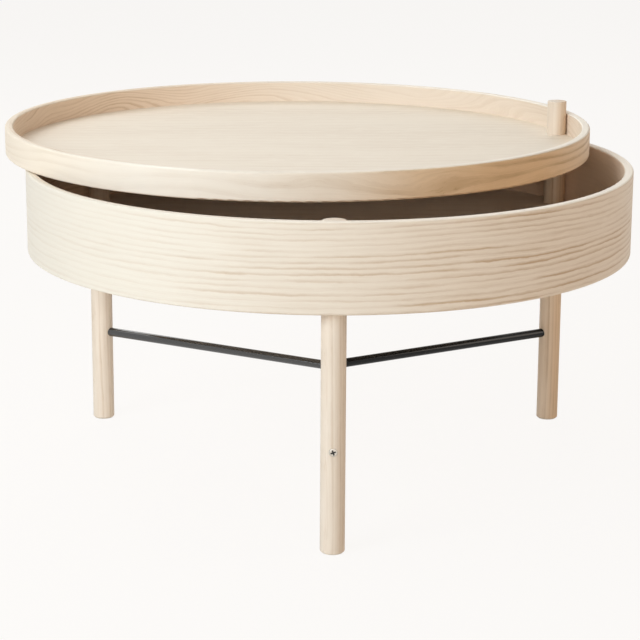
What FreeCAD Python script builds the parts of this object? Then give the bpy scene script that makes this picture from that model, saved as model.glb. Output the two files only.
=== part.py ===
# Round storage side table whose tray top turns about one of its three legs.
# Millimetres, Z up. The origin lies on the drum's axis at the floor, and the front leg stands towards -Y.

import FreeCAD, Part
import os
import Sketcher

FRONT_ANGLE = -90
PIVOT_ANGLE = 30
LEFT_ANGLE = 150
LEGS = {"front": FRONT_ANGLE, "pivot": PIVOT_ANGLE, "left": LEFT_ANGLE}
LEG_COUNT = len(LEGS)
FULL_TURN = 360
# how far each tightened screw has come round about its own axis
SCREW_TURN = 20

# Driving dimensions, one cell each
SIZES = {
    # storage drum
    "drum_diameter": 650,
    "drum_height": 90,
    "drum_ground_clearance": 243,
    "wall_thickness": 9.5,
    "wall_edge_round": 2,
    "floor_thickness": 8,
    "floor_inset": 9,
    "floor_groove_depth": 4,
    "glue_gap": 0.05,
    # legs
    "leg_diameter": 24.5,
    "leg_foot_round": 1.2,
    "leg_top_round": 1.5,
    "leg_top_drop": 2.5,
    "leg_wall_gap": 0.05,
    "leg_floor_gap": 0.1,
    "peg_diameter": 21.5,
    "peg_rise": 38,
    "peg_top_round": 0.8,
    # foot glides
    "glide_thickness": 1,
    "glide_setback": 0.25,
    "glide_edge_round": 0.5,
    "glide_pin_diameter": 4,
    "glide_pin_length": 12,
    "glide_pin_gap": 0.05,
    # stretcher
    "stretcher_height": 105,
    "rod_diameter": 10,
    "rod_fit_gap": 0.05,
    "rod_socket_depth": 5,
    "hub_diameter": 16,
    "hub_height": 14,
    "hub_edge_round": 1.2,
    "hub_web": 1,
    # screws through the legs into the rods
    "rod_screw_diameter": 4,
    "rod_screw_head_diameter": 8.3,
    "rod_screw_head_height": 2.4,
    "rod_screw_seat_depth": 2,
    "rod_thread_length": 12,
    # screws through the legs into the drum wall
    "wall_screw_diameter": 3.5,
    "wall_screw_head_diameter": 7,
    "wall_screw_head_height": 2.2,
    "wall_screw_seat_depth": 2.6,
    "wall_screw_skin": 3.5,
    "wall_screw_drop": 14,
    "wall_screw_spacing": 25,
    # both kinds of screw
    "screw_hole_gap": 0.05,
    "screw_head_gap": 0.2,
    "screw_head_round": 0.9,
    "screw_end_gap": 0.5,
    "recess_span": 5.4,
    "recess_width": 1.6,
    "recess_depth": 1.4,
    # tray
    "tray_gap": 0.5,
    "tray_rim_height": 30,
    "tray_rim_thickness": 9,
    "tray_edge_round": 2,
    "panel_thickness": 5.5,
    "panel_lift": 0.5,
    "panel_rebate_depth": 4,
    "tray_open_angle": 18,
    # pivot bearing
    "peg_rim_gap": 0.55,
    "running_clearance": 0.05,
    "bush_wall": 1.15,
    "bush_top_drop": 0.1,
    "washer_thickness": 1,
    "washer_clearance": 0.1,
    "washer_setback": 0.25,
    "bearing_play": 0.05,
}

# Places and fits worked out from the driving dimensions, each from cells above it
DERIVED = {
    # drum
    "drum_radius": "drum_diameter / 2",
    "drum_rim": "drum_ground_clearance + drum_height",
    "wall_inner_radius": "drum_radius - wall_thickness",
    "groove_radius": "wall_inner_radius + floor_groove_depth",
    "floor_underside": "drum_ground_clearance + floor_inset",
    "floor_top": "floor_underside + floor_thickness",
    "floor_radius": "groove_radius - glue_gap",
    # legs
    "leg_radius": "leg_diameter / 2",
    "leg_circle_radius": "wall_inner_radius - leg_wall_gap - leg_radius",
    "leg_top": "drum_rim - leg_top_drop",
    "leg_hole_diameter": "leg_diameter + 2 * leg_floor_gap",
    # foot glides
    "glide_radius": "leg_radius - leg_foot_round - glide_setback",
    "glide_pin_radius": "glide_pin_diameter / 2",
    "glide_pin_top": "glide_thickness + glide_pin_length",
    "glide_bore_diameter": "glide_pin_diameter + 2 * glide_pin_gap",
    # stretcher
    "hub_radius": "hub_diameter / 2",
    "hub_bottom": "stretcher_height - hub_height / 2",
    "hub_top": "stretcher_height + hub_height / 2",
    "rod_hole_diameter": "rod_diameter + 2 * rod_fit_gap",
    "rod_start": f"(hub_web + rod_hole_diameter / 2) / (2 * sin({FULL_TURN // LEG_COUNT // 2}))",
    "rod_end": "leg_circle_radius - leg_radius + rod_socket_depth",
    "rod_length": "rod_end - rod_start",
    "rod_socket_plane": "rod_socket_depth - leg_radius",
    # screws into the rods
    "rod_screw_radius": "rod_screw_diameter / 2",
    "rod_screw_head_radius": "rod_screw_head_diameter / 2",
    "rod_screw_hole": "rod_screw_diameter + 2 * screw_hole_gap",
    "rod_screw_seat": "rod_screw_head_diameter + 2 * screw_head_gap",
    "rod_screw_seat_plane": "leg_radius - rod_screw_seat_depth",
    "rod_screw_seat_radius": "leg_circle_radius + rod_screw_seat_plane",
    "rod_screw_length": "leg_diameter - rod_screw_seat_depth - rod_socket_depth + rod_thread_length",
    "rod_tap_depth": "rod_thread_length + screw_end_gap",
    # screws into the wall
    "wall_screw_radius": "wall_screw_diameter / 2",
    "wall_screw_head_radius": "wall_screw_head_diameter / 2",
    "wall_screw_hole": "wall_screw_diameter + 2 * screw_hole_gap",
    "wall_screw_seat": "wall_screw_head_diameter + 2 * screw_head_gap",
    "wall_screw_seat_plane": "wall_screw_seat_depth - leg_radius",
    "wall_screw_seat_radius": "leg_circle_radius + wall_screw_seat_plane",
    "wall_screw_bite": "wall_thickness - wall_screw_skin",
    "wall_screw_length": "leg_diameter - wall_screw_seat_depth + leg_wall_gap + wall_screw_bite",
    "wall_pilot_depth": "wall_screw_bite + screw_end_gap",
    "wall_pilot_plane": "wall_inner_radius + wall_pilot_depth",
    "wall_pilot_reach": "2 * wall_pilot_depth",
    "wall_screw_high": "leg_top - wall_screw_drop",
    "wall_screw_low": "wall_screw_high - wall_screw_spacing",
    # cross recess
    "recess_arm": "recess_span / 2",
    "recess_half": "recess_width / 2",
    # tray
    "peg_radius": "peg_diameter / 2",
    "tray_inner_radius": "leg_circle_radius + peg_radius + peg_rim_gap",
    "tray_radius": "tray_inner_radius + tray_rim_thickness",
    "tray_bottom": "drum_rim + tray_gap",
    "tray_top": "tray_bottom + tray_rim_height",
    "panel_underside": "tray_bottom + panel_lift",
    "panel_top": "panel_underside + panel_thickness",
    "panel_rebate_radius": "tray_inner_radius + panel_rebate_depth",
    "panel_radius": "panel_rebate_radius - glue_gap",
    "pivot_across": f"leg_circle_radius * cos({PIVOT_ANGLE})",
    "pivot_back": f"leg_circle_radius * sin({PIVOT_ANGLE})",
    "tray_across": f"pivot_across - leg_circle_radius * cos({PIVOT_ANGLE} - tray_open_angle)",
    "tray_back": f"pivot_back - leg_circle_radius * sin({PIVOT_ANGLE} - tray_open_angle)",
    # pivot bearing
    "peg_top": "panel_top + peg_rise",
    "bush_inner_radius": "peg_radius + running_clearance",
    "bush_outer_radius": "bush_inner_radius + bush_wall",
    "bush_top": "panel_top - bush_top_drop",
    "bush_hole_diameter": "2 * (bush_outer_radius + glue_gap)",
    "washer_inner_radius": "peg_radius + washer_clearance",
    "washer_outer_radius": "leg_radius - washer_setback",
    "washer_top": "panel_underside - bearing_play",
    "shoulder": "washer_top - washer_thickness",
}

TINY = 1e-6

doc = FreeCAD.newDocument("side_table")


def reference(name):
    """A cell's name as an expression; a leading minus turns the number round."""
    plain = name.lstrip("-")
    sheet = "Sizes" if plain in SIZES else "Derived"
    return name.replace(plain, f"{sheet}.{plain}")


def value(name):
    """The number in the cell of that name, with the same use of a leading minus."""
    plain = name.lstrip("-")
    if plain == "0":
        return 0.0
    sheet = sizes if plain in SIZES else derived
    number = float(sheet.get(plain))
    return -number if name.startswith("-") else number


def fill_sheet(sheet, cells, as_formula):
    """Write each name beside its number or formula, and make the name the cell's alias."""
    for row, (name, content) in enumerate(cells.items(), start=1):
        sheet.set(f"A{row}", name)
        sheet.set(f"B{row}", as_formula(content))
        sheet.setAlias(f"B{row}", name)


def formula(text):
    """A derived cell's formula, with the names of driving dimensions pointing at their sheet."""
    words = text.replace("(", "( ").replace(")", " )").split()
    return "=" + " ".join(reference(word) if word in SIZES else word for word in words)


def sketch_on(body, name, role, offset="0"):
    """An empty sketch on a plane of the body's origin, moved along its normal by a cell's number."""
    plane = next(item for item in body.Origin.OriginFeatures if item.Role == role)
    sketch = body.newObject("Sketcher::SketchObject", name)
    sketch.AttachmentSupport = [(plane, "")]
    sketch.MapMode = "FlatFace"
    if offset != "0":
        sketch.setExpression(".AttachmentOffset.Base.z", reference(offset))
    return sketch


def hold_point(sketch, item, point, across, up):
    """Hold a point of a sketch at the place that two cells give."""
    # item -1 is the sketch's horizontal axis, whose point 1 is the origin, and item -2 is the vertical axis
    for kind, axis, place in (("DistanceX", -2, across), ("DistanceY", -1, up)):
        if place == "0":
            sketch.addConstraint(Sketcher.Constraint("PointOnObject", item, point, axis))
            continue
        ends = (-1, 1, item, point)
        if place.startswith("-"):
            ends = (item, point, -1, 1)
        size = place.lstrip("-")
        held = sketch.addConstraint(Sketcher.Constraint(kind, *ends, value(size)))
        sketch.setExpression(f"Constraints[{held}]", reference(size))


def draw_outline(sketch, corners):
    """A closed outline of straight lines, each corner given by two cells."""
    points = [FreeCAD.Vector(value(across), value(up), 0) for across, up in corners]
    following = points[1:] + points[:1]
    for start, end in zip(points, following):
        sketch.addGeometry(Part.LineSegment(start, end))
    # a line's start is its point 1 and its end is point 2
    for line in range(len(points)):
        after = (line + 1) % len(points)
        sketch.addConstraint(Sketcher.Constraint("Coincident", line, 2, after, 1))
    for line, (across, up) in enumerate(corners):
        hold_point(sketch, line, 1, across, up)


def draw_circle(sketch, centre, diameter):
    """A circle about a place that two cells give."""
    middle = FreeCAD.Vector(value(centre[0]), value(centre[1]), 0)
    sketch.addGeometry(Part.Circle(middle, FreeCAD.Vector(0, 0, 1), value(diameter) / 2))
    # a circle's centre is its point 3
    hold_point(sketch, 0, 3, *centre)
    held = sketch.addConstraint(Sketcher.Constraint("Diameter", 0, value(diameter)))
    sketch.setExpression(f"Constraints[{held}]", reference(diameter))


def turned(label, corners):
    """A body turned about its Z axis from a half section given as radius and height."""
    body = doc.addObject("PartDesign::Body", label)
    section = sketch_on(body, f"{label}_section", "XZ_Plane")
    draw_outline(section, corners)
    turning = body.newObject("PartDesign::Revolution", f"{label}_turning")
    turning.Profile = section
    turning.ReferenceAxis = (section, ["V_Axis"])
    turning.Angle = FULL_TURN
    doc.recompute()
    return body


def disc(label, radius, bottom, top):
    """A plain turned disc."""
    return turned(label, [("0", bottom), (radius, bottom), (radius, top), ("0", top)])


def ring(label, inner, outer, bottom, top):
    """A plain turned ring."""
    return turned(label, [(inner, bottom), (outer, bottom), (outer, top), (inner, top)])


def round_edges(body, radius, places):
    """Round the circular edges about the body's axis that lie at the given radius and height."""
    base = body.Tip
    chosen = []
    for number, edge in enumerate(base.Shape.Edges, start=1):
        if not isinstance(edge.Curve, Part.Circle):
            continue
        for across, up in places:
            same_size = abs(edge.Curve.Radius - value(across)) < TINY
            same_height = abs(edge.Curve.Center.z - value(up)) < TINY
            if same_size and same_height:
                chosen.append(f"Edge{number}")
    fillet = body.newObject("PartDesign::Fillet", f"{body.Name}_{radius}")
    fillet.Base = (base, chosen)
    fillet.setExpression("Radius", reference(radius))
    doc.recompute()


def cut(body, name, sketch, reach, along_normal):
    """Pocket a sketch into the body, right through unless a cell gives its reach."""
    solid_before = body.Tip.Shape.Volume
    pocket = body.newObject("PartDesign::Pocket", name)
    pocket.Profile = sketch
    pocket.Reversed = along_normal
    pocket.Type = "Length" if reach else "ThroughAll"
    if reach:
        pocket.setExpression("Length", reference(reach))
    doc.recompute()
    if pocket.Shape.Volume > solid_before - TINY:
        raise ValueError(f"{name} cuts nothing")
    return pocket


def bore(body, name, role, centre, diameter, start="0", reach=None, along_normal=False):
    """A round hole that starts at a plane beside one of the body's origin planes."""
    sketch = sketch_on(body, f"{body.Name}_{name}_circle", role, start)
    draw_circle(sketch, centre, diameter)
    return cut(body, f"{body.Name}_{name}", sketch, reach, along_normal)


def repeat_round(body, features):
    """Repeat features once for each leg, about the body's Z axis."""
    pattern = body.newObject("PartDesign::PolarPattern", f"{body.Name}_round")
    pattern.Originals = features
    axis = next(item for item in body.Origin.OriginFeatures if item.Role == "Z_Axis")
    pattern.Axis = (axis, [""])
    pattern.Angle = FULL_TURN
    pattern.Occurrences = LEG_COUNT
    body.Tip = pattern
    doc.recompute()


def turn_about_axis(angle):
    """The rotation that carries the front leg's direction to the given one."""
    return FreeCAD.Rotation(FreeCAD.Vector(0, 0, 1), angle - FRONT_ANGLE)


def place_round(body, radius, angle, height="0", rotation=None):
    """Set a body at a distance from the drum's axis, in a leg's direction."""
    body.Placement = FreeCAD.Placement(FreeCAD.Vector(), rotation or turn_about_axis(angle))
    body.setExpression(".Placement.Base.x", f"{reference(radius)} * cos({angle})")
    body.setExpression(".Placement.Base.y", f"{reference(radius)} * sin({angle})")
    if height != "0":
        body.setExpression(".Placement.Base.z", reference(height))


def make_drum():
    """The bent wall, and the floor that sits in a groove inside it."""
    wall = turned("drum_wall", [
        ("wall_inner_radius", "drum_ground_clearance"), ("drum_radius", "drum_ground_clearance"),
        ("drum_radius", "drum_rim"), ("wall_inner_radius", "drum_rim"),
        ("wall_inner_radius", "floor_top"), ("groove_radius", "floor_top"),
        ("groove_radius", "floor_underside"), ("wall_inner_radius", "floor_underside"),
    ])
    edges = [("drum_radius", "drum_rim"), ("wall_inner_radius", "drum_rim"),
             ("drum_radius", "drum_ground_clearance")]
    round_edges(wall, "wall_edge_round", edges)
    pilots = []
    for level in ("low", "high"):
        pilots.append(bore(
            wall, f"{level}_pilot", "XZ_Plane", ("0", f"wall_screw_{level}"), "wall_screw_hole",
            start="wall_pilot_plane", reach="wall_pilot_reach",
        ))
    repeat_round(wall, pilots)

    floor = disc("drum_floor", "floor_radius", "floor_underside", "floor_top")
    leg_hole = bore(
        floor, "leg_hole", "XY_Plane", ("0", "-leg_circle_radius"), "leg_hole_diameter", start="floor_top",
    )
    repeat_round(floor, [leg_hole])
    return [wall, floor]


def make_leg(name, angle):
    """A round leg with its holes for the rod, the screws and the glide; the pivot leg ends in a peg."""
    label = f"{name}_leg"
    if name == "pivot":
        leg = turned(label, [
            ("0", "glide_thickness"), ("leg_radius", "glide_thickness"), ("leg_radius", "shoulder"),
            ("peg_radius", "shoulder"), ("peg_radius", "peg_top"), ("0", "peg_top"),
        ])
        round_edges(leg, "peg_top_round", [("peg_radius", "peg_top")])
    else:
        leg = disc(label, "leg_radius", "glide_thickness", "leg_top")
        round_edges(leg, "leg_top_round", [("leg_radius", "leg_top")])
    round_edges(leg, "leg_foot_round", [("leg_radius", "glide_thickness")])

    at_rod = ("0", "stretcher_height")
    bore(leg, "rod_socket", "XZ_Plane", at_rod, "rod_hole_diameter", start="rod_socket_plane")
    bore(leg, "rod_screw_seat", "XZ_Plane", at_rod, "rod_screw_seat",
         start="rod_screw_seat_plane", along_normal=True)
    bore(leg, "rod_screw_hole", "XZ_Plane", at_rod, "rod_screw_hole",
         start="rod_socket_plane", along_normal=True)
    for level in ("low", "high"):
        at_screw = ("0", f"wall_screw_{level}")
        bore(leg, f"{level}_screw_seat", "XZ_Plane", at_screw, "wall_screw_seat", start="wall_screw_seat_plane")
        bore(leg, f"{level}_screw_hole", "XZ_Plane", at_screw, "wall_screw_hole",
             start="wall_screw_seat_plane", along_normal=True)
    bore(leg, "glide_bore", "XY_Plane", ("0", "0"), "glide_bore_diameter", start="glide_pin_top")
    place_round(leg, "leg_circle_radius", angle)
    return leg


def make_glide(name, angle):
    """A nail-in glide under a leg."""
    glide = turned(f"{name}_foot_glide", [
        ("0", "0"), ("glide_radius", "0"), ("glide_radius", "glide_thickness"),
        ("glide_pin_radius", "glide_thickness"), ("glide_pin_radius", "glide_pin_top"), ("0", "glide_pin_top"),
    ])
    round_edges(glide, "glide_edge_round", [("glide_radius", "0")])
    place_round(glide, "leg_circle_radius", angle)
    return glide


def make_screw(label, kind):
    """A pan-head screw along Z with a cross recess, its head resting on the XY plane."""
    radius, length = f"{kind}_screw_radius", f"{kind}_screw_length"
    head, height = f"{kind}_screw_head_radius", f"{kind}_screw_head_height"
    screw = turned(label, [
        ("0", f"-{length}"), (radius, f"-{length}"), (radius, "0"), (head, "0"), (head, height), ("0", height),
    ])
    round_edges(screw, "screw_head_round", [(head, height)])
    half, arm = "recess_half", "recess_arm"
    cross = sketch_on(screw, f"{label}_cross", "XY_Plane", height)
    draw_outline(cross, [
        (f"-{half}", f"-{arm}"), (half, f"-{arm}"), (half, f"-{half}"), (arm, f"-{half}"),
        (arm, half), (half, half), (half, arm), (f"-{half}", arm),
        (f"-{half}", half), (f"-{arm}", half), (f"-{arm}", f"-{half}"), (f"-{half}", f"-{half}"),
    ])
    cut(screw, f"{label}_recess", cross, "recess_depth", along_normal=False)
    return screw


def make_leg_screws(name, angle):
    """The screw from outside that holds the rod, and the two from inside that hold the wall."""
    tightened = FreeCAD.Rotation(FreeCAD.Vector(0, 0, 1), SCREW_TURN)
    head_outward = FreeCAD.Rotation(FreeCAD.Vector(1, 0, 0), 90) * tightened
    head_inward = FreeCAD.Rotation(FreeCAD.Vector(1, 0, 0), -90) * tightened
    around = turn_about_axis(angle)
    rod_screw = make_screw(f"{name}_stretcher_screw", "rod")
    place_round(rod_screw, "rod_screw_seat_radius", angle, "stretcher_height", around * head_outward)
    screws = [rod_screw]
    for label, level in (("lower", "low"), ("upper", "high")):
        wall_screw = make_screw(f"{name}_leg_{label}_screw", "wall")
        place_round(wall_screw, "wall_screw_seat_radius", angle, f"wall_screw_{level}", around * head_inward)
        screws.append(wall_screw)
    return screws


def make_hub():
    """The turned hub in which the three rods meet."""
    hub = disc("stretcher_hub", "hub_radius", "hub_bottom", "hub_top")
    round_edges(hub, "hub_edge_round", [("hub_radius", "hub_bottom"), ("hub_radius", "hub_top")])
    socket = bore(hub, "socket", "XZ_Plane", ("0", "stretcher_height"), "rod_hole_diameter",
                  start="rod_start", along_normal=True)
    repeat_round(hub, [socket])
    return hub


def make_rod(name, angle):
    """A rod from the hub to a leg, tapped at its outer end."""
    rod = doc.addObject("PartDesign::Body", f"{name}_stretcher_rod")
    at_rod = ("0", "stretcher_height")
    section = sketch_on(rod, f"{rod.Name}_section", "XZ_Plane", "rod_start")
    draw_circle(section, at_rod, "rod_diameter")
    bar = rod.newObject("PartDesign::Pad", f"{rod.Name}_bar")
    bar.Profile = section
    bar.setExpression("Length", reference("rod_length"))
    doc.recompute()
    bore(rod, "tapped_hole", "XZ_Plane", at_rod, "rod_screw_hole", start="rod_end", reach="rod_tap_depth")
    rod.Placement = FreeCAD.Placement(FreeCAD.Vector(), turn_about_axis(angle))
    return rod


def make_tray():
    """The tray's bent rim and the panel in a step under it, turned open about the pivot leg."""
    rim = turned("tray_rim", [
        ("panel_rebate_radius", "tray_bottom"), ("tray_radius", "tray_bottom"),
        ("tray_radius", "tray_top"), ("tray_inner_radius", "tray_top"),
        ("tray_inner_radius", "panel_top"), ("panel_rebate_radius", "panel_top"),
    ])
    edges = [("tray_radius", "tray_top"), ("tray_inner_radius", "tray_top"), ("tray_radius", "tray_bottom")]
    round_edges(rim, "tray_edge_round", edges)
    panel = disc("tray_panel", "panel_radius", "panel_underside", "panel_top")
    bore(panel, "bush_hole", "XY_Plane", ("pivot_across", "pivot_back"), "bush_hole_diameter", start="panel_top")
    clockwise = FreeCAD.Rotation(FreeCAD.Vector(0, 0, -1), SIZES["tray_open_angle"])
    for piece in (rim, panel):
        piece.Placement = FreeCAD.Placement(FreeCAD.Vector(), clockwise)
        piece.setExpression(".Placement.Rotation.Angle", reference("tray_open_angle"))
        piece.setExpression(".Placement.Base.x", reference("tray_across"))
        piece.setExpression(".Placement.Base.y", reference("tray_back"))
    return [rim, panel]


def make_bearing():
    """The bush in the tray panel, and the washer under it on the pivot leg's shoulder."""
    bush = ring("pivot_bush", "bush_inner_radius", "bush_outer_radius", "panel_underside", "bush_top")
    washer = ring("thrust_washer", "washer_inner_radius", "washer_outer_radius", "shoulder", "washer_top")
    for piece in (bush, washer):
        place_round(piece, "leg_circle_radius", PIVOT_ANGLE)
    return [bush, washer]


def check(pieces):
    """Stop if any object failed, or if a piece isn't one sound solid."""
    for item in doc.Objects:
        if "Invalid" in item.State or "Error" in item.State:
            raise ValueError(f"{item.Name} failed: {item.State}")
    for piece in pieces:
        shape = piece.Shape
        if shape.isNull() or not shape.isValid() or len(shape.Solids) != 1:
            raise ValueError(f"{piece.Label} isn't one sound solid")


sizes = doc.addObject("Spreadsheet::Sheet", "Sizes")
derived = doc.addObject("Spreadsheet::Sheet", "Derived")
fill_sheet(sizes, SIZES, str)
doc.recompute()
fill_sheet(derived, DERIVED, formula)
doc.recompute()

pieces = make_drum()
for leg_name, leg_angle in LEGS.items():
    pieces.append(make_leg(leg_name, leg_angle))
    pieces.append(make_glide(leg_name, leg_angle))
    pieces.append(make_rod(leg_name, leg_angle))
    pieces += make_leg_screws(leg_name, leg_angle)
pieces.append(make_hub())
pieces += make_tray()
pieces += make_bearing()
doc.recompute()
check(pieces)

os.makedirs("parts", exist_ok=True)
for piece in pieces:
    piece.Shape.exportStep(f"parts/{piece.Label}.step")
    print(f"{piece.Label}: {piece.Shape.Volume / 1000:.2f} cm3")
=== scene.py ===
"""Looks of the round storage table: materials, soft studio light and the camera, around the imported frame."""
import math

import bpy
from mathutils import Matrix, Vector


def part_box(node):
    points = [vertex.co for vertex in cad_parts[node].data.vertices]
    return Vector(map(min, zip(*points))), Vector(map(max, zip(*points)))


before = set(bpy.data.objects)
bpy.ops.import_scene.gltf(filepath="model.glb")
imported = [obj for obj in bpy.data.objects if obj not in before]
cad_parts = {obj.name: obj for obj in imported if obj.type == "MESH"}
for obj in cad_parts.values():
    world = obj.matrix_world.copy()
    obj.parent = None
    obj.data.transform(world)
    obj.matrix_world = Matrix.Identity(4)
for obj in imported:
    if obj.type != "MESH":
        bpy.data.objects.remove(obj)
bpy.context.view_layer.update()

IMAGE_SIZE = 640
SENSOR_WIDTH = 36.0
NEAR_CLIP = 0.05
FAR_CLIP = 60.0

# The viewing point of the photograph: place in metres, turns in degrees, focal length in pixels
CAMERA_PLACE = (-0.0384, -2.2575, 0.7291)
CAMERA_YAW = -0.739
CAMERA_PITCH = -14.227
CAMERA_ROLL = -0.316
FOCAL_PIXELS = 2119.7

# Soft boxes: name, place, target, width and height, watts, colour
LIGHTS = [
    ("key", (-1.98, -2.03, 1.65), (0.0, 0.0, 0.27), (1.6, 1.4), 71.2, (0.82, 0.91, 1.0)),
    ("front", (0.2, -3.4, 0.965), (0.0, 0.0, 0.28), (2.6, 0.2), 27.6, (1.0, 0.93, 0.87)),
    ("right", (2.5, -0.4, 1.1), (0.0, 0.0, 0.25), (1.4, 1.4), 17.0, (1.0, 0.87, 0.76)),
    ("top", (-1.0, 0.1, 2.5), (0.0, 0.0, 0.3), (2.0, 2.0), 16.0, (1.0, 1.0, 1.0)),
    ("back", (-0.6, 2.3, 2.4), (0.0, 0.0, 0.3), (2.8, 1.8), 34.0, (1.0, 1.0, 0.99)),
]

# Light from all round, the backdrop and the floor
WORLD_COLOUR = (1.0, 0.98, 0.96)
WORLD_STRENGTH = 0.06
BACKDROP = (0.956, 0.939, 0.922)
FLOOR_COLOUR = (0.86, 0.82, 0.77)
FLOOR_ROUGHNESS = 0.9
FLOOR_GLOW = (0.992, 0.975, 0.957)
FLOOR_GLOW_SHARE = 0.93
FLOOR_HALF = 15.0

# Sizes of the part that the materials follow, in metres
DRUM_WALL = 0.0095
TRAY_WALL = 0.009
EDGE_ROUNDING = 0.002
INSIDE_MARGIN = 0.0002
RECESS_REACH = 0.0028
RECESS_DEPTH = 0.0016
RECESS_SKIN = 0.00005
leg_low, leg_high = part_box("pivot_leg")
LEG_RADIUS = (leg_high.x - leg_low.x) / 2
TABLE_HEIGHT = leg_high.z

# Pale and dark tones of the wood; the tone curves below mix towards the dark ones, in part as painted shade
ASH_PALE = (0.785, 0.725, 0.615)
ASH_DARK = (0.78, 0.48, 0.27)
ASH_LINE = (0.52, 0.355, 0.215)
PANEL_PALE = (0.87, 0.78, 0.64)
TRAY_PALE = (0.91, 0.84, 0.72)
TRAY_DARK = (0.68, 0.40, 0.15)
TRAY_LINE = (0.44, 0.27, 0.12)
TRAY_INSIDE_PALE = (0.82, 0.73, 0.61)
TRAY_INSIDE_DARK = (0.78, 0.46, 0.24)
# Colour of the painted highlight along the top edges
PAINTED_EDGE_HIGHLIGHT = (0.95, 0.86, 0.73)
INSIDE_PALE = (0.91, 0.725, 0.555)
INSIDE_DARK = (0.59, 0.36, 0.22)
FLOOR_PALE = (0.925, 0.82, 0.71)
FLOOR_DARK = (0.71, 0.52, 0.39)
LEG_PALE = (0.81, 0.71, 0.59)
LEG_DARK = (0.56, 0.35, 0.18)
LEG_LINE = (0.50, 0.34, 0.20)
PIVOT_DARK = (0.66, 0.42, 0.22)

# Noises of the grain: cells per metre along it and across it, a shift into it that sets each one apart,
# detail and roughness
RIPPLE = (11.0, 60.0, 7.3, 2.0, 0.5)
WAVER = (55.0, 140.0, 5.9, 4.0, 0.65)
FIBRES = (16.0, 950.0, 2.1, 3.0, 0.6)
PORES = (70.0, 2600.0, 4.7, 1.0, 0.5)
BROAD_TONES = (3.6, 15.0, 11.9, 2.0, 0.5)
SPOTS = (42.0, 210.0, 8.3, 2.0, 0.5)
# The same for the fading of each growth ring, where whole rings are counted across the grain
FADING = (11.0, 3.1, 0.0, 1.5, 0.5)
# Shift, detail and roughness of the sweep, whose cells are a part of each look
SWEEP = (0.0, 1.0, 0.5)
NOISE_MIDDLE = 0.5

# Straight runs of place and value: how a ring fades, the early wood in a ring, pores and flecks out of their
# noises, and the painted highlight, a pale line from a ring's top down its rounding
FADING_RUN = [(0.0, 0.3), (0.36, 0.3), (0.6, 1.0), (1.0, 1.0)]
EARLY_RUN = [(0.0, 0.2), (0.12, 1.0), (0.28, 0.85), (0.46, 0.3), (0.75, 0.0), (1.0, 0.2)]
PORE_RUN = [(0.0, 0.0), (0.6, 0.0), (0.72, 1.0), (1.0, 1.0)]
FLECK_RUN = [(0.0, 0.0), (0.54, 0.0), (0.68, 1.0), (1.0, 1.0)]
PAINTED_HIGHLIGHT_RUN = [(0.0, 1.0), (0.35, 1.0), (0.55, 0.0), (1.0, 0.0)]

# Share of the pores that the late wood keeps, and shifts of the grain outside a ring and round a leg's heart
LATE_PORES = 0.25
OUTSIDE_SHIFT = 3.7
TURN_SHIFT = 0.05

# Roughness of the wood with what fibres and early wood add, and heights and depth of its bump
WOOD_ROUGHNESS = 0.46
FIBRE_ROUGHNESS = 0.14
EARLY_ROUGHNESS = 0.05
FIBRE_HEIGHT = 0.5
EARLY_HEIGHT = -0.6
PORE_HEIGHT = -0.8
GRAIN_DEPTH = 0.0006

# Looks of the wood. Tone, contrast and crown, the pale line along the top, follow the veneer round a ring:
# outside, 0.25 is its left, 0.5 its front and 0.75 its right; inside, 0.25 is its right, 0.5 its back and
# 0.75 its left. The tone is partly the wood's own and partly painted shade, darker where less of the key light
# from the left falls; the contrast fades the grain on the lit left as painted light
VENEER = {
    "seed": 3.0, "pale": ASH_PALE, "dark": ASH_DARK, "line": ASH_LINE,
    "ring": 0.0058, "sweep": 0.018, "sweep_rate": 2.2, "sweep_spread": 8.0, "ripple": 0.0045, "waver": 0.0027,
    "base": 0.04, "stain": 0.02, "ring_depth": 0.85, "fibre_depth": 0.5, "broad_depth": 0.2,
    "pore_depth": 0.3, "fleck_depth": 0.05, "faintest": 0.4, "relief": 0.35,
    "tone_and_shade": [
        (0.0, 0.4), (0.25, 0.0), (0.42, 0.0), (0.5, 0.22), (0.56, 0.42),
        (0.62, 0.5), (0.68, 0.5), (0.74, 0.25), (1.0, 0.4),
    ],
    "inner_tone_and_shade": [(0.0, 0.3), (1.0, 0.3)], "tone_depth": 0.5,
    "contrast": [
        (0.0, 0.8), (0.25, 0.2), (0.34, 0.2), (0.39, 0.33), (0.45, 0.64), (0.52, 0.86),
        (0.56, 1.25), (0.6, 1.65), (0.66, 1.3), (0.75, 0.9), (1.0, 0.8),
    ],
    "painted_highlight": [(0.0, 0.2), (0.25, 0.0), (0.4, 0.05), (0.5, 0.6), (0.6, 0.95), (0.75, 0.95), (1.0, 0.2)],
    "inner_painted_highlight": [(0.0, 0.6), (0.1, 0.95), (0.3, 0.95), (0.5, 0.2), (0.75, 0.0), (0.9, 0.05), (1.0, 0.6)],
}
INSIDE_VENEER = {
    **VENEER, "seed": 9.0, "pale": INSIDE_PALE, "dark": INSIDE_DARK, "sweep": 0.03, "ring_depth": 0.6,
    # Inside the drum the tone is painted shade: pale at the right, where light reaches the wall, darker at the
    # back and left
    "inner_tone_and_shade": [(0.0, 0.5), (0.2, 0.0), (0.26, 0.0), (0.33, 0.6), (0.5, 0.6), (1.0, 0.5)],
}
FLOOR_VENEER = {
    **INSIDE_VENEER, "seed": 50.0, "pale": FLOOR_PALE, "dark": FLOOR_DARK,
    "ring_depth": 0.4, "fibre_depth": 0.35,
}
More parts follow.
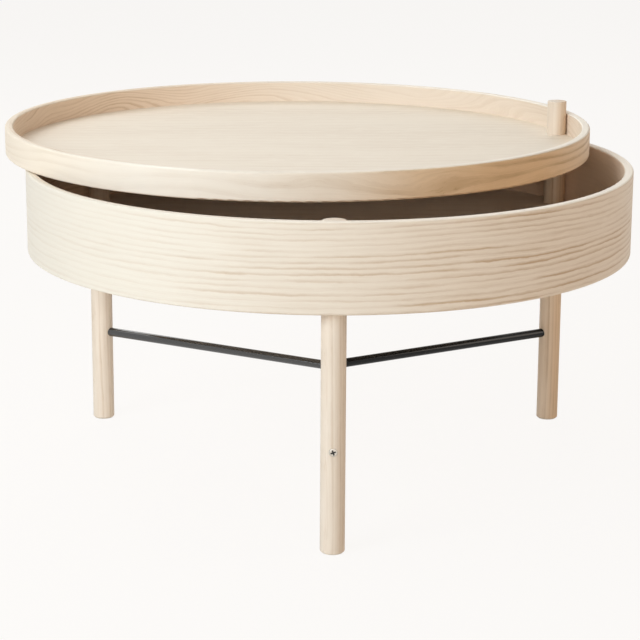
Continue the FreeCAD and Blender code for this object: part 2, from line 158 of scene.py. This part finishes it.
TRAY_VENEER = {
    **VENEER, "seed": 21.0, "pale": TRAY_PALE, "dark": TRAY_DARK, "line": TRAY_LINE,
    "ring": 0.011, "sweep": 0.07, "sweep_rate": 4.0, "sweep_spread": 16.0, "ring_depth": 0.7, "base": 0.03,
    # The rim's tone is partly painted shade, darkest at its front right and right, away from the key light
    "tone_and_shade": [
        (0.0, 0.4), (0.25, 0.33), (0.35, 0.22), (0.42, 0.0), (0.48, 0.05),
        (0.52, 0.28), (0.56, 0.8), (0.6, 1.0), (0.64, 1.0), (0.67, 0.8), (0.7, 0.6), (1.0, 0.4),
    ],
    # Inside the rim the tone is partly painted shade, darker and redder on its left, which faces away from the
    # key light
    "inner_tone_and_shade": [
        (0.0, 0.2), (0.3, 0.2), (0.4, 0.14), (0.5, 0.12), (0.58, 0.34), (0.65, 0.42), (1.0, 0.42),
    ],
    "tone_depth": 0.75,
    "contrast": [
        (0.0, 0.8), (0.25, 0.15), (0.44, 0.2), (0.52, 0.5), (0.56, 1.1), (0.62, 1.4), (0.75, 0.9), (1.0, 0.8),
    ],
}
TRAY_INSIDE_VENEER = {
    **TRAY_VENEER, "pale": TRAY_INSIDE_PALE, "dark": TRAY_INSIDE_DARK,
    "ring": 0.0055, "sweep": 0.09, "sweep_rate": 5.0, "ring_depth": 0.55,
    "contrast": [(0.0, 0.8), (0.25, 0.7), (0.44, 0.35), (0.52, 0.5), (0.58, 1.1), (0.75, 1.0), (1.0, 0.8)],
}
PANEL_VENEER = {
    **VENEER, "seed": 40.0, "pale": PANEL_PALE,
    "ring": 0.018, "sweep": 0.09, "sweep_rate": 1.6, "sweep_spread": 4.0, "base": 0.08, "stain": 0.06,
    "ring_depth": 0.1, "fibre_depth": 0.1, "broad_depth": 0.3, "pore_depth": 0.14, "fleck_depth": 0.14,
}

# Across a leg 0 is its left and 1 its right, and over the height 0 is the ground and 1 the top of the table.
# The tone across a leg is painted shade, darker on its right, away from the key light; the tone up a leg
# darkens, as painted shade, the left leg's top inside the drum and the pivot leg below its peg
SOLID = {
    **VENEER, "seed": 60.0, "pale": LEG_PALE, "dark": LEG_DARK, "line": LEG_LINE,
    "ring": 0.0036, "sweep": 0.012, "sweep_rate": 2.2, "sweep_spread": 30.0, "ripple": 0.002, "waver": 0.0006,
    "base": 0.06, "ring_depth": 0.42, "heart": (0.05, 0.035),
    "tone_and_shade": [(0.0, 0.0), (0.5, 0.15), (1.0, 1.0)], "tone_depth": 0.34,
    "height_tone_and_shade": [(0.0, 0.0), (1.0, 0.0)], "height_depth": 0.0, "height_contrast": [(0.0, 1.0), (1.0, 1.0)],
}
LEFT_SOLID = {
    **SOLID, "seed": 69.0, "tone_depth": 0.0,
    "height_tone_and_shade": [(0.0, 0.0), (0.66, 0.0), (0.7, 1.0), (1.0, 1.0)], "height_depth": 0.35,
}
PIVOT_SOLID = {
    **SOLID, "seed": 78.0, "dark": PIVOT_DARK, "base": 0.05, "ring_depth": 0.7, "ring": 0.0042,
    "tone_and_shade": [(0.0, 0.0), (0.4, 0.15), (0.7, 0.7), (1.0, 1.0)], "tone_depth": 0.55,
    "height_tone_and_shade": [(0.0, 1.0), (0.84, 1.0), (0.9, 0.0), (1.0, 0.0)], "height_depth": 0.22,
    "height_contrast": [(0.0, 1.0), (0.84, 1.0), (0.9, 0.3), (1.0, 0.3)],
}
LEG_LOOKS = {"front": SOLID, "left": LEFT_SOLID, "pivot": PIVOT_SOLID}

# Looks of paint, metal and plastic: clouds between two tones, and a fine grain in roughness and bump, each
# with its cells per metre, detail and roughness
BLACK_STEEL = {
    "low": (0.006, 0.006, 0.006), "high": (0.012, 0.012, 0.012), "ior": 1.5, "metallic": 0.0,
    "clouds": (40.0, 2.0, 0.5), "grain": (1800.0, 2.0, 0.5),
    "roughness": 0.07, "roughness_spread": 0.06, "relief": 0.02, "relief_depth": 0.0002,
}
# Lit and shaded copies of the one black paint: the left rod's is lighter and shinier, as painted light, and
# the pivot rod's darker and duller, as painted shade
LEFT_STEEL_PAINTED_LIGHT = {**BLACK_STEEL, "low": (0.008, 0.008, 0.008), "high": (0.014, 0.014, 0.014), "ior": 1.85}
PIVOT_STEEL_PAINTED_SHADE = {**BLACK_STEEL, "low": (0.003, 0.003, 0.003), "high": (0.006, 0.006, 0.006), "ior": 1.33}
ZINC_STEEL = {
    "low": (0.54, 0.49, 0.43), "high": (0.66, 0.61, 0.54), "ior": 1.5, "metallic": 1.0,
    "clouds": (700.0, 3.0, 0.5), "grain": (700.0, 3.0, 0.5),
    "roughness": 0.42, "roughness_spread": 0.18, "relief": 0.1, "relief_depth": 0.0002,
}
# Dark faces of a screw's cross recess: painted shade
RECESS_PAINTED_SHADE = {
    "low": (0.012, 0.011, 0.010), "high": (0.035, 0.033, 0.030), "ior": 1.5, "metallic": 0.0,
    "clouds": (1500.0, 2.0, 0.5), "grain": (1500.0, 2.0, 0.5),
    "roughness": 0.5, "roughness_spread": 0.2, "relief": 0.2, "relief_depth": 0.0001,
}
NYLON = {
    "low": (0.70, 0.66, 0.56), "high": (0.78, 0.74, 0.65), "ior": 1.5, "metallic": 0.0,
    "clouds": (120.0, 2.0, 0.5), "grain": (900.0, 2.0, 0.5),
    "roughness": 0.42, "roughness_spread": 0.16, "relief": 0.2, "relief_depth": 0.0002,
}


class Graph:
    """A material's nodes, written as short calls that return sockets."""

    def __init__(self, name):
        self.material = bpy.data.materials.new(name)
        self.material.use_nodes = True
        self.nodes = self.material.node_tree.nodes
        self.links = self.material.node_tree.links
        self.shader = self.nodes["Principled BSDF"]

    def feed(self, socket, source):
        """Put a number, a colour or another socket into an input."""
        if isinstance(source, bpy.types.NodeSocket):
            self.links.new(source, socket)
        elif isinstance(source, (tuple, list)) and socket.type == "RGBA":
            socket.default_value = (*source, 1.0)
        else:
            socket.default_value = source

    def math(self, operation, *sources):
        node = self.nodes.new("ShaderNodeMath")
        node.operation = operation
        for socket, source in zip(node.inputs, sources):
            self.feed(socket, source)
        return node.outputs[0]

    def add(self, *sources):
        total = sources[0]
        for source in sources[1:]:
            total = self.math("ADD", total, source)
        return total

    def times(self, *sources):
        total = sources[0]
        for source in sources[1:]:
            total = self.math("MULTIPLY", total, source)
        return total

    def minus(self, first, second):
        return self.math("SUBTRACT", first, second)

    def vector(self, x, y, z):
        node = self.nodes.new("ShaderNodeCombineXYZ")
        for socket, source in zip(node.inputs, (x, y, z)):
            self.feed(socket, source)
        return node.outputs[0]

    def place(self):
        """The object's own x, y and z in metres."""
        coordinates = self.nodes.new("ShaderNodeTexCoord").outputs["Object"]
        node = self.nodes.new("ShaderNodeSeparateXYZ")
        self.links.new(coordinates, node.inputs[0])
        return tuple(node.outputs)

    def noise(self, vector, detail, roughness):
        node = self.nodes.new("ShaderNodeTexNoise")
        self.feed(node.inputs["Vector"], vector)
        node.inputs["Scale"].default_value = 1.0
        node.inputs["Detail"].default_value = detail
        node.inputs["Roughness"].default_value = roughness
        return node.outputs["Fac"]

    def even_noise(self, per_metre, detail, roughness):
        """Noise of one scale in all directions."""
        x, y, z = (self.times(axis, per_metre) for axis in self.place())
        return self.noise(self.vector(x, y, z), detail, roughness)

    def long_noise(self, along, across, depth, row):
        """Noise that is drawn out along the grain."""
        along_rate, across_rate, shift, detail, roughness = row
        x = self.times(along, along_rate)
        y = self.times(across, across_rate)
        z = self.add(depth, shift)
        return self.noise(self.vector(x, y, z), detail, roughness)

    def random(self, number):
        node = self.nodes.new("ShaderNodeTexWhiteNoise")
        node.noise_dimensions = "1D"
        self.feed(node.inputs["W"], number)
        return node.outputs["Value"]

    def ramp(self, factor, stops):
        """A number that follows straight runs between stops of place and value."""
        node = self.nodes.new("ShaderNodeFloatCurve")
        curve = node.mapping.curves[0]
        curve.points[0].location = stops[0]
        curve.points[1].location = stops[-1]
        for stop in stops[1:-1]:
            curve.points.new(*stop)
        for point in curve.points:
            point.handle_type = "VECTOR"
        node.mapping.update()
        self.feed(node.inputs["Value"], factor)
        return node.outputs[0]

    def mix(self, factor, first, second):
        node = self.nodes.new("ShaderNodeMix")
        node.data_type = "RGBA"
        self.feed(node.inputs["Factor"], factor)
        self.feed(node.inputs[6], first)
        self.feed(node.inputs[7], second)
        return node.outputs[2]

    def bump(self, height, strength, distance):
        node = self.nodes.new("ShaderNodeBump")
        node.inputs["Strength"].default_value = strength
        node.inputs["Distance"].default_value = distance
        self.feed(node.inputs["Height"], height)
        self.links.new(node.outputs[0], self.shader.inputs["Normal"])

    def set(self, **values):
        """Put values into the shader's inputs, with spaces in their names written as underscores."""
        for name, source in values.items():
            self.feed(self.shader.inputs[name.replace("_", " ")], source)


def finish_wood(graph, along, across, depth, look, tone_and_shade=0.0, contrast=1.0, painted_highlight=None):
    """Ash from the distance along its grain, across and into it, in metres; the last argument is a painted
    highlight, a pale line along an edge.
    """
    sweep = graph.long_noise(along, across, depth, (look["sweep_rate"], look["sweep_spread"], *SWEEP))
    ripple = graph.long_noise(along, across, depth, RIPPLE)
    waver = graph.long_noise(along, across, depth, WAVER)
    bent = graph.add(
        across,
        graph.times(graph.minus(sweep, NOISE_MIDDLE), look["sweep"]),
        graph.times(graph.minus(ripple, NOISE_MIDDLE), look["ripple"]),
        graph.times(graph.minus(waver, NOISE_MIDDLE), look["waver"]),
    )
    rings = graph.times(bent, 1.0 / look["ring"])
    whole = graph.math("FLOOR", rings)
    part = graph.minus(rings, whole)
    fading = graph.long_noise(along, whole, depth, FADING)
    strength = graph.times(
        graph.add(look["faintest"], graph.times(1.0 - look["faintest"], graph.random(whole))),
        graph.ramp(fading, FADING_RUN),
    )
    early = graph.times(graph.ramp(part, EARLY_RUN), strength)
    fibre = graph.long_noise(along, bent, depth, FIBRES)
    dash = graph.long_noise(along, bent, depth, PORES)
    pore = graph.times(graph.ramp(dash, PORE_RUN), graph.add(LATE_PORES, early))
    broad = graph.long_noise(along, bent, depth, BROAD_TONES)
    spot = graph.long_noise(along, bent, depth, SPOTS)
    figure = graph.add(
        graph.times(graph.minus(fibre, NOISE_MIDDLE), look["fibre_depth"]),
        graph.times(graph.minus(broad, NOISE_MIDDLE), look["broad_depth"]),
        graph.times(pore, look["pore_depth"]),
        graph.times(graph.ramp(spot, FLECK_RUN), -look["fleck_depth"]),
    )
    # The tone, partly painted shade, mixes the pale wood towards the dark
    wood = graph.mix(graph.add(look["base"], tone_and_shade), look["pale"], look["dark"])
    drawn = graph.times(graph.add(graph.times(early, look["ring_depth"]), figure), contrast)
    stain = graph.math("MINIMUM", graph.add(look["stain"], drawn), 1.0)
    stain = graph.math("MAXIMUM", stain, 0.0)
    colour = graph.mix(stain, wood, look["line"])
    # Painted highlight: a pale line along the top edge
    if painted_highlight is not None:
        colour = graph.mix(painted_highlight, colour, PAINTED_EDGE_HIGHLIGHT)
    roughness = graph.add(
        WOOD_ROUGHNESS,
        graph.times(fibre, FIBRE_ROUGHNESS),
        graph.times(early, EARLY_ROUGHNESS),
    )
    graph.set(Base_Color=colour, Roughness=roughness)
    height = graph.add(
        graph.times(fibre, FIBRE_HEIGHT),
        graph.times(early, EARLY_HEIGHT),
        graph.times(pore, PORE_HEIGHT),
    )
    graph.bump(height, look["relief"], GRAIN_DEPTH)


def veneer_ring(name, centre, middle_radius, top, look):
    """Veneer round a bent ring; its joint is at the back outside and at the front inside."""
    graph = Graph(name)
    x, y, z = graph.place()
    x = graph.minus(x, centre.x)
    y = graph.minus(y, centre.y)
    radius = graph.math("SQRT", graph.add(graph.times(x, x), graph.times(y, y)))
    outside = graph.math("GREATER_THAN", radius, middle_radius)
    inside = graph.minus(1.0, outside)
    side = graph.minus(graph.times(outside, 2.0), 1.0)
    angle = graph.math("ARCTAN2", graph.times(x, side), graph.times(y, side, -1.0))
    along = graph.times(angle, middle_radius)
    across = graph.add(z, graph.times(radius, side, -1.0))
    depth = graph.add(look["seed"], graph.times(outside, OUTSIDE_SHIFT))
    round_share = graph.add(0.5, graph.times(angle, 0.5 / math.pi))
    # Painted shade: the tone darkens the veneer where less light falls, and the contrast fades the grain on
    # the lit side as painted light
    outer_tone_and_shade = graph.times(graph.ramp(round_share, look["tone_and_shade"]), outside)
    inner_tone_and_shade = graph.times(graph.ramp(round_share, look["inner_tone_and_shade"]), inside)
    tone_and_shade = graph.times(graph.add(outer_tone_and_shade, inner_tone_and_shade), look["tone_depth"])
    contrast = graph.ramp(round_share, look["contrast"])
    # Painted highlight along the top edge, outside along the front and right, inside along the right
    outer_painted_highlight = graph.times(graph.ramp(round_share, look["painted_highlight"]), outside)
    inner_painted_highlight = graph.times(graph.ramp(round_share, look["inner_painted_highlight"]), inside)
    top_share = graph.times(graph.minus(top, z), 1.0 / EDGE_ROUNDING)
    painted_highlight = graph.times(graph.add(outer_painted_highlight, inner_painted_highlight), graph.ramp(top_share, PAINTED_HIGHLIGHT_RUN))
    finish_wood(graph, along, across, depth, look, tone_and_shade, contrast, painted_highlight)
    return graph.material


def veneer_panel(name, look):
    """Flat veneer with its grain along X."""
    graph = Graph(name)
    x, y, z = graph.place()
    finish_wood(graph, x, graph.add(y, z), look["seed"], look)
    return graph.material


def solid_leg(name, centre, look):
    """Solid wood with its grain along Z and its rings about a heart beside the leg."""
    graph = Graph(name)
    x, y, z = graph.place()
    side_share = graph.add(0.5, graph.times(graph.minus(x, centre.x), 0.5 / LEG_RADIUS))
    height_share = graph.times(z, 1.0 / TABLE_HEIGHT)
    # Painted shade: darker across the leg towards its right, and along the heights that its look sets
    tone_and_shade = graph.add(
        graph.times(graph.ramp(side_share, look["tone_and_shade"]), look["tone_depth"]),
        graph.times(graph.ramp(height_share, look["height_tone_and_shade"]), look["height_depth"]),
    )
    contrast = graph.ramp(height_share, look["height_contrast"])
    heart_x, heart_y = look["heart"]
    x = graph.minus(x, centre.x + heart_x)
    y = graph.minus(y, centre.y + heart_y)
    radius = graph.math("SQRT", graph.add(graph.times(x, x), graph.times(y, y)))
    turn = graph.times(graph.math("ARCTAN2", y, x), TURN_SHIFT)
    finish_wood(graph, z, radius, graph.add(look["seed"], turn), look, tone_and_shade, contrast)
    return graph.material


def even_material(name, look):
    """Paint, metal or plastic without a direction."""
    graph = Graph(name)
    clouds = graph.even_noise(*look["clouds"])
    grain = graph.even_noise(*look["grain"])
    graph.set(
        Base_Color=graph.mix(clouds, look["low"], look["high"]),
        Roughness=graph.add(look["roughness"], graph.times(grain, look["roughness_spread"])),
        Metallic=look["metallic"],
        IOR=look["ior"],
    )
    graph.bump(grain, look["relief"], look["relief_depth"])
    return graph.material


def middle(node):
    low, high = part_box(node)
    return (low + high) / 2


def dress(node, *materials):
    """Give a CAD node its materials."""
    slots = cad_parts[node].data.materials
    slots.clear()
    for material in materials:
        slots.append(material)


def dress_ring(node, wall, inside_from, outer, inner):
    """Veneer round a ring, and another inside it above its floor; outer and inner are name and look."""
    centre = middle(node)
    low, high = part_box(node)
    middle_radius = (high.x - low.x - wall) / 2
    outer_wood = veneer_ring(outer[0], centre, middle_radius, high.z, outer[1])
    inner_wood = veneer_ring(inner[0], centre, middle_radius, high.z, inner[1])
    dress(node, outer_wood, inner_wood)
    inside_radius = middle_radius - wall / 2 + INSIDE_MARGIN
    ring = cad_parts[node]
    for face in ring.data.polygons:
        place = ring.matrix_world @ face.center
        from_axis = math.hypot(place.x - centre.x, place.y - centre.y)
        is_inside = from_axis < inside_radius and place.z > inside_from
        face.material_index = 1 if is_inside else 0


def paint_recess_shade(node, outward):
    """Give the faces of a screw's cross recess its second material, a dark painted shade; the head faces
    outward.
    """
    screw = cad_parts[node]
    to_world = screw.matrix_world
    head = max((to_world @ vertex.co).dot(outward) for vertex in screw.data.vertices)
    centre = middle(node)
    for face in screw.data.polygons:
        place = to_world @ face.center
        below = head - place.dot(outward)
        beside = place - centre
        from_axis = (beside - outward * beside.dot(outward)).length
        in_recess = from_axis < RECESS_REACH and RECESS_SKIN < below < RECESS_DEPTH
        face.material_index = 1 if in_recess else 0


# Drum and its floor
drum_inside_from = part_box("drum_floor")[1].z
dress_ring(
    "drum_wall", DRUM_WALL, drum_inside_from, ("ash_drum", VENEER), ("ash_drum_inside", INSIDE_VENEER)
)
dress("drum_floor", veneer_panel("ash_drum_floor", FLOOR_VENEER))

# Tray
tray_inside_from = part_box("tray_panel")[1].z
dress_ring(
    "tray_rim", TRAY_WALL, tray_inside_from,
    ("ash_tray_rim", TRAY_VENEER), ("ash_tray_inside", TRAY_INSIDE_VENEER),
)
dress("tray_panel", veneer_panel("ash_tray_panel", PANEL_VENEER))

# Legs, and what is on and under them
# The left and pivot rods get lit and shaded copies of the black paint
steel = {
    "front": even_material("black_steel", BLACK_STEEL),
    "left": even_material("black_steel_left_painted_light", LEFT_STEEL_PAINTED_LIGHT),
    "pivot": even_material("black_steel_pivot_painted_shade", PIVOT_STEEL_PAINTED_SHADE),
}
zinc = even_material("zinc_steel", ZINC_STEEL)
nylon = even_material("nylon", NYLON)
# Dark painted shade for the screws' cross recesses
recess_painted_shade = even_material("zinc_recess_painted_shade", RECESS_PAINTED_SHADE)
for name, look in LEG_LOOKS.items():
    leg_middle = middle(f"{name}_leg")
    outward = Vector((leg_middle.x, leg_middle.y, 0.0)).normalized()
    dress(f"{name}_leg", solid_leg(f"ash_{name}_leg", leg_middle, look))
    dress(f"{name}_foot_glide", nylon)
    dress(f"{name}_stretcher_rod", steel[name])
    for screw, facing in (("stretcher", outward), ("leg_upper", -outward), ("leg_lower", -outward)):
        dress(f"{name}_{screw}_screw", zinc, recess_painted_shade)
        paint_recess_shade(f"{name}_{screw}_screw", facing)
dress("stretcher_hub", steel["front"])
dress("pivot_bush", nylon)
dress("thrust_washer", nylon)

scene = bpy.context.scene
scene.view_settings.view_transform = "Standard"


def add_camera():
    """The camera at the photograph's viewing point."""
    yaw, pitch, roll = (math.radians(turn) for turn in (CAMERA_YAW, CAMERA_PITCH, CAMERA_ROLL))
    turned = Matrix.Rotation(yaw, 3, "Z") @ Matrix.Rotation(pitch, 3, "X") @ Matrix.Rotation(roll, 3, "Y")
    to_blender = Matrix.Rotation(math.radians(90), 3, "X")
    data = bpy.data.cameras.new("camera")
    data.sensor_width = SENSOR_WIDTH
    data.lens = FOCAL_PIXELS / IMAGE_SIZE * SENSOR_WIDTH
    data.clip_start = NEAR_CLIP
    data.clip_end = FAR_CLIP
    camera = bpy.data.objects.new("camera", data)
    camera.matrix_world = Matrix.Translation(CAMERA_PLACE) @ (turned @ to_blender).to_4x4()
    scene.collection.objects.link(camera)
    scene.camera = camera


def add_light(name, place, target, size, watts, colour):
    """A rectangular soft box that faces its target."""
    data = bpy.data.lights.new(name, "AREA")
    data.shape = "RECTANGLE"
    data.size, data.size_y = size
    data.energy = watts
    data.color = colour
    lamp = bpy.data.objects.new(name, data)
    lamp.location = place
    lamp.rotation_euler = (Vector(target) - Vector(place)).to_track_quat("-Z", "Y").to_euler()
    scene.collection.objects.link(lamp)


def seen_directly(nodes, links):
    """One where a ray comes from the camera, a mirror-like surface or glass."""
    path = nodes.new("ShaderNodeLightPath")
    first = nodes.new("ShaderNodeMath")
    first.operation = "MAXIMUM"
    second = nodes.new("ShaderNodeMath")
    second.operation = "MAXIMUM"
    links.new(path.outputs["Is Camera Ray"], first.inputs[0])
    links.new(path.outputs["Is Glossy Ray"], first.inputs[1])
    links.new(first.outputs[0], second.inputs[0])
    links.new(path.outputs["Is Transmission Ray"], second.inputs[1])
    return second.outputs[0]


def add_world():
    """Soft light from all round, in front of a plain pale backdrop."""
    world = bpy.data.worlds.new("studio")
    world.use_nodes = True
    scene.world = world
    nodes, links = world.node_tree.nodes, world.node_tree.links
    light = nodes["Background"]
    light.inputs["Color"].default_value = (*WORLD_COLOUR, 1.0)
    light.inputs["Strength"].default_value = WORLD_STRENGTH
    backdrop = nodes.new("ShaderNodeBackground")
    backdrop.inputs["Color"].default_value = (*BACKDROP, 1.0)
    chosen = nodes.new("ShaderNodeMixShader")
    links.new(seen_directly(nodes, links), chosen.inputs[0])
    links.new(light.outputs[0], chosen.inputs[1])
    links.new(backdrop.outputs[0], chosen.inputs[2])
    links.new(chosen.outputs[0], nodes["World Output"].inputs["Surface"])


def add_floor():
    """A wide pale floor that keeps the table's shadow, and shows the backdrop's colour for the rest."""
    mesh = bpy.data.meshes.new("floor")
    low, high = -FLOOR_HALF, FLOOR_HALF
    corners = [(low, low, 0.0), (high, low, 0.0), (high, high, 0.0), (low, high, 0.0)]
    mesh.from_pydata(corners, [], [(0, 1, 2, 3)])
    floor = bpy.data.objects.new("floor", mesh)
    scene.collection.objects.link(floor)
    graph = Graph("floor")
    graph.set(Base_Color=FLOOR_COLOUR, Roughness=FLOOR_ROUGHNESS)
    glow = graph.nodes.new("ShaderNodeEmission")
    glow.inputs["Color"].default_value = (*FLOOR_GLOW, 1.0)
    share = graph.times(seen_directly(graph.nodes, graph.links), FLOOR_GLOW_SHARE)
    chosen = graph.nodes.new("ShaderNodeMixShader")
    graph.links.new(share, chosen.inputs[0])
    graph.links.new(graph.shader.outputs[0], chosen.inputs[1])
    graph.links.new(glow.outputs[0], chosen.inputs[2])
    graph.links.new(chosen.outputs[0], graph.nodes["Material Output"].inputs["Surface"])
    mesh.materials.append(graph.material)


add_camera()
for light in LIGHTS:
    add_light(*light)
add_world()
add_floor()
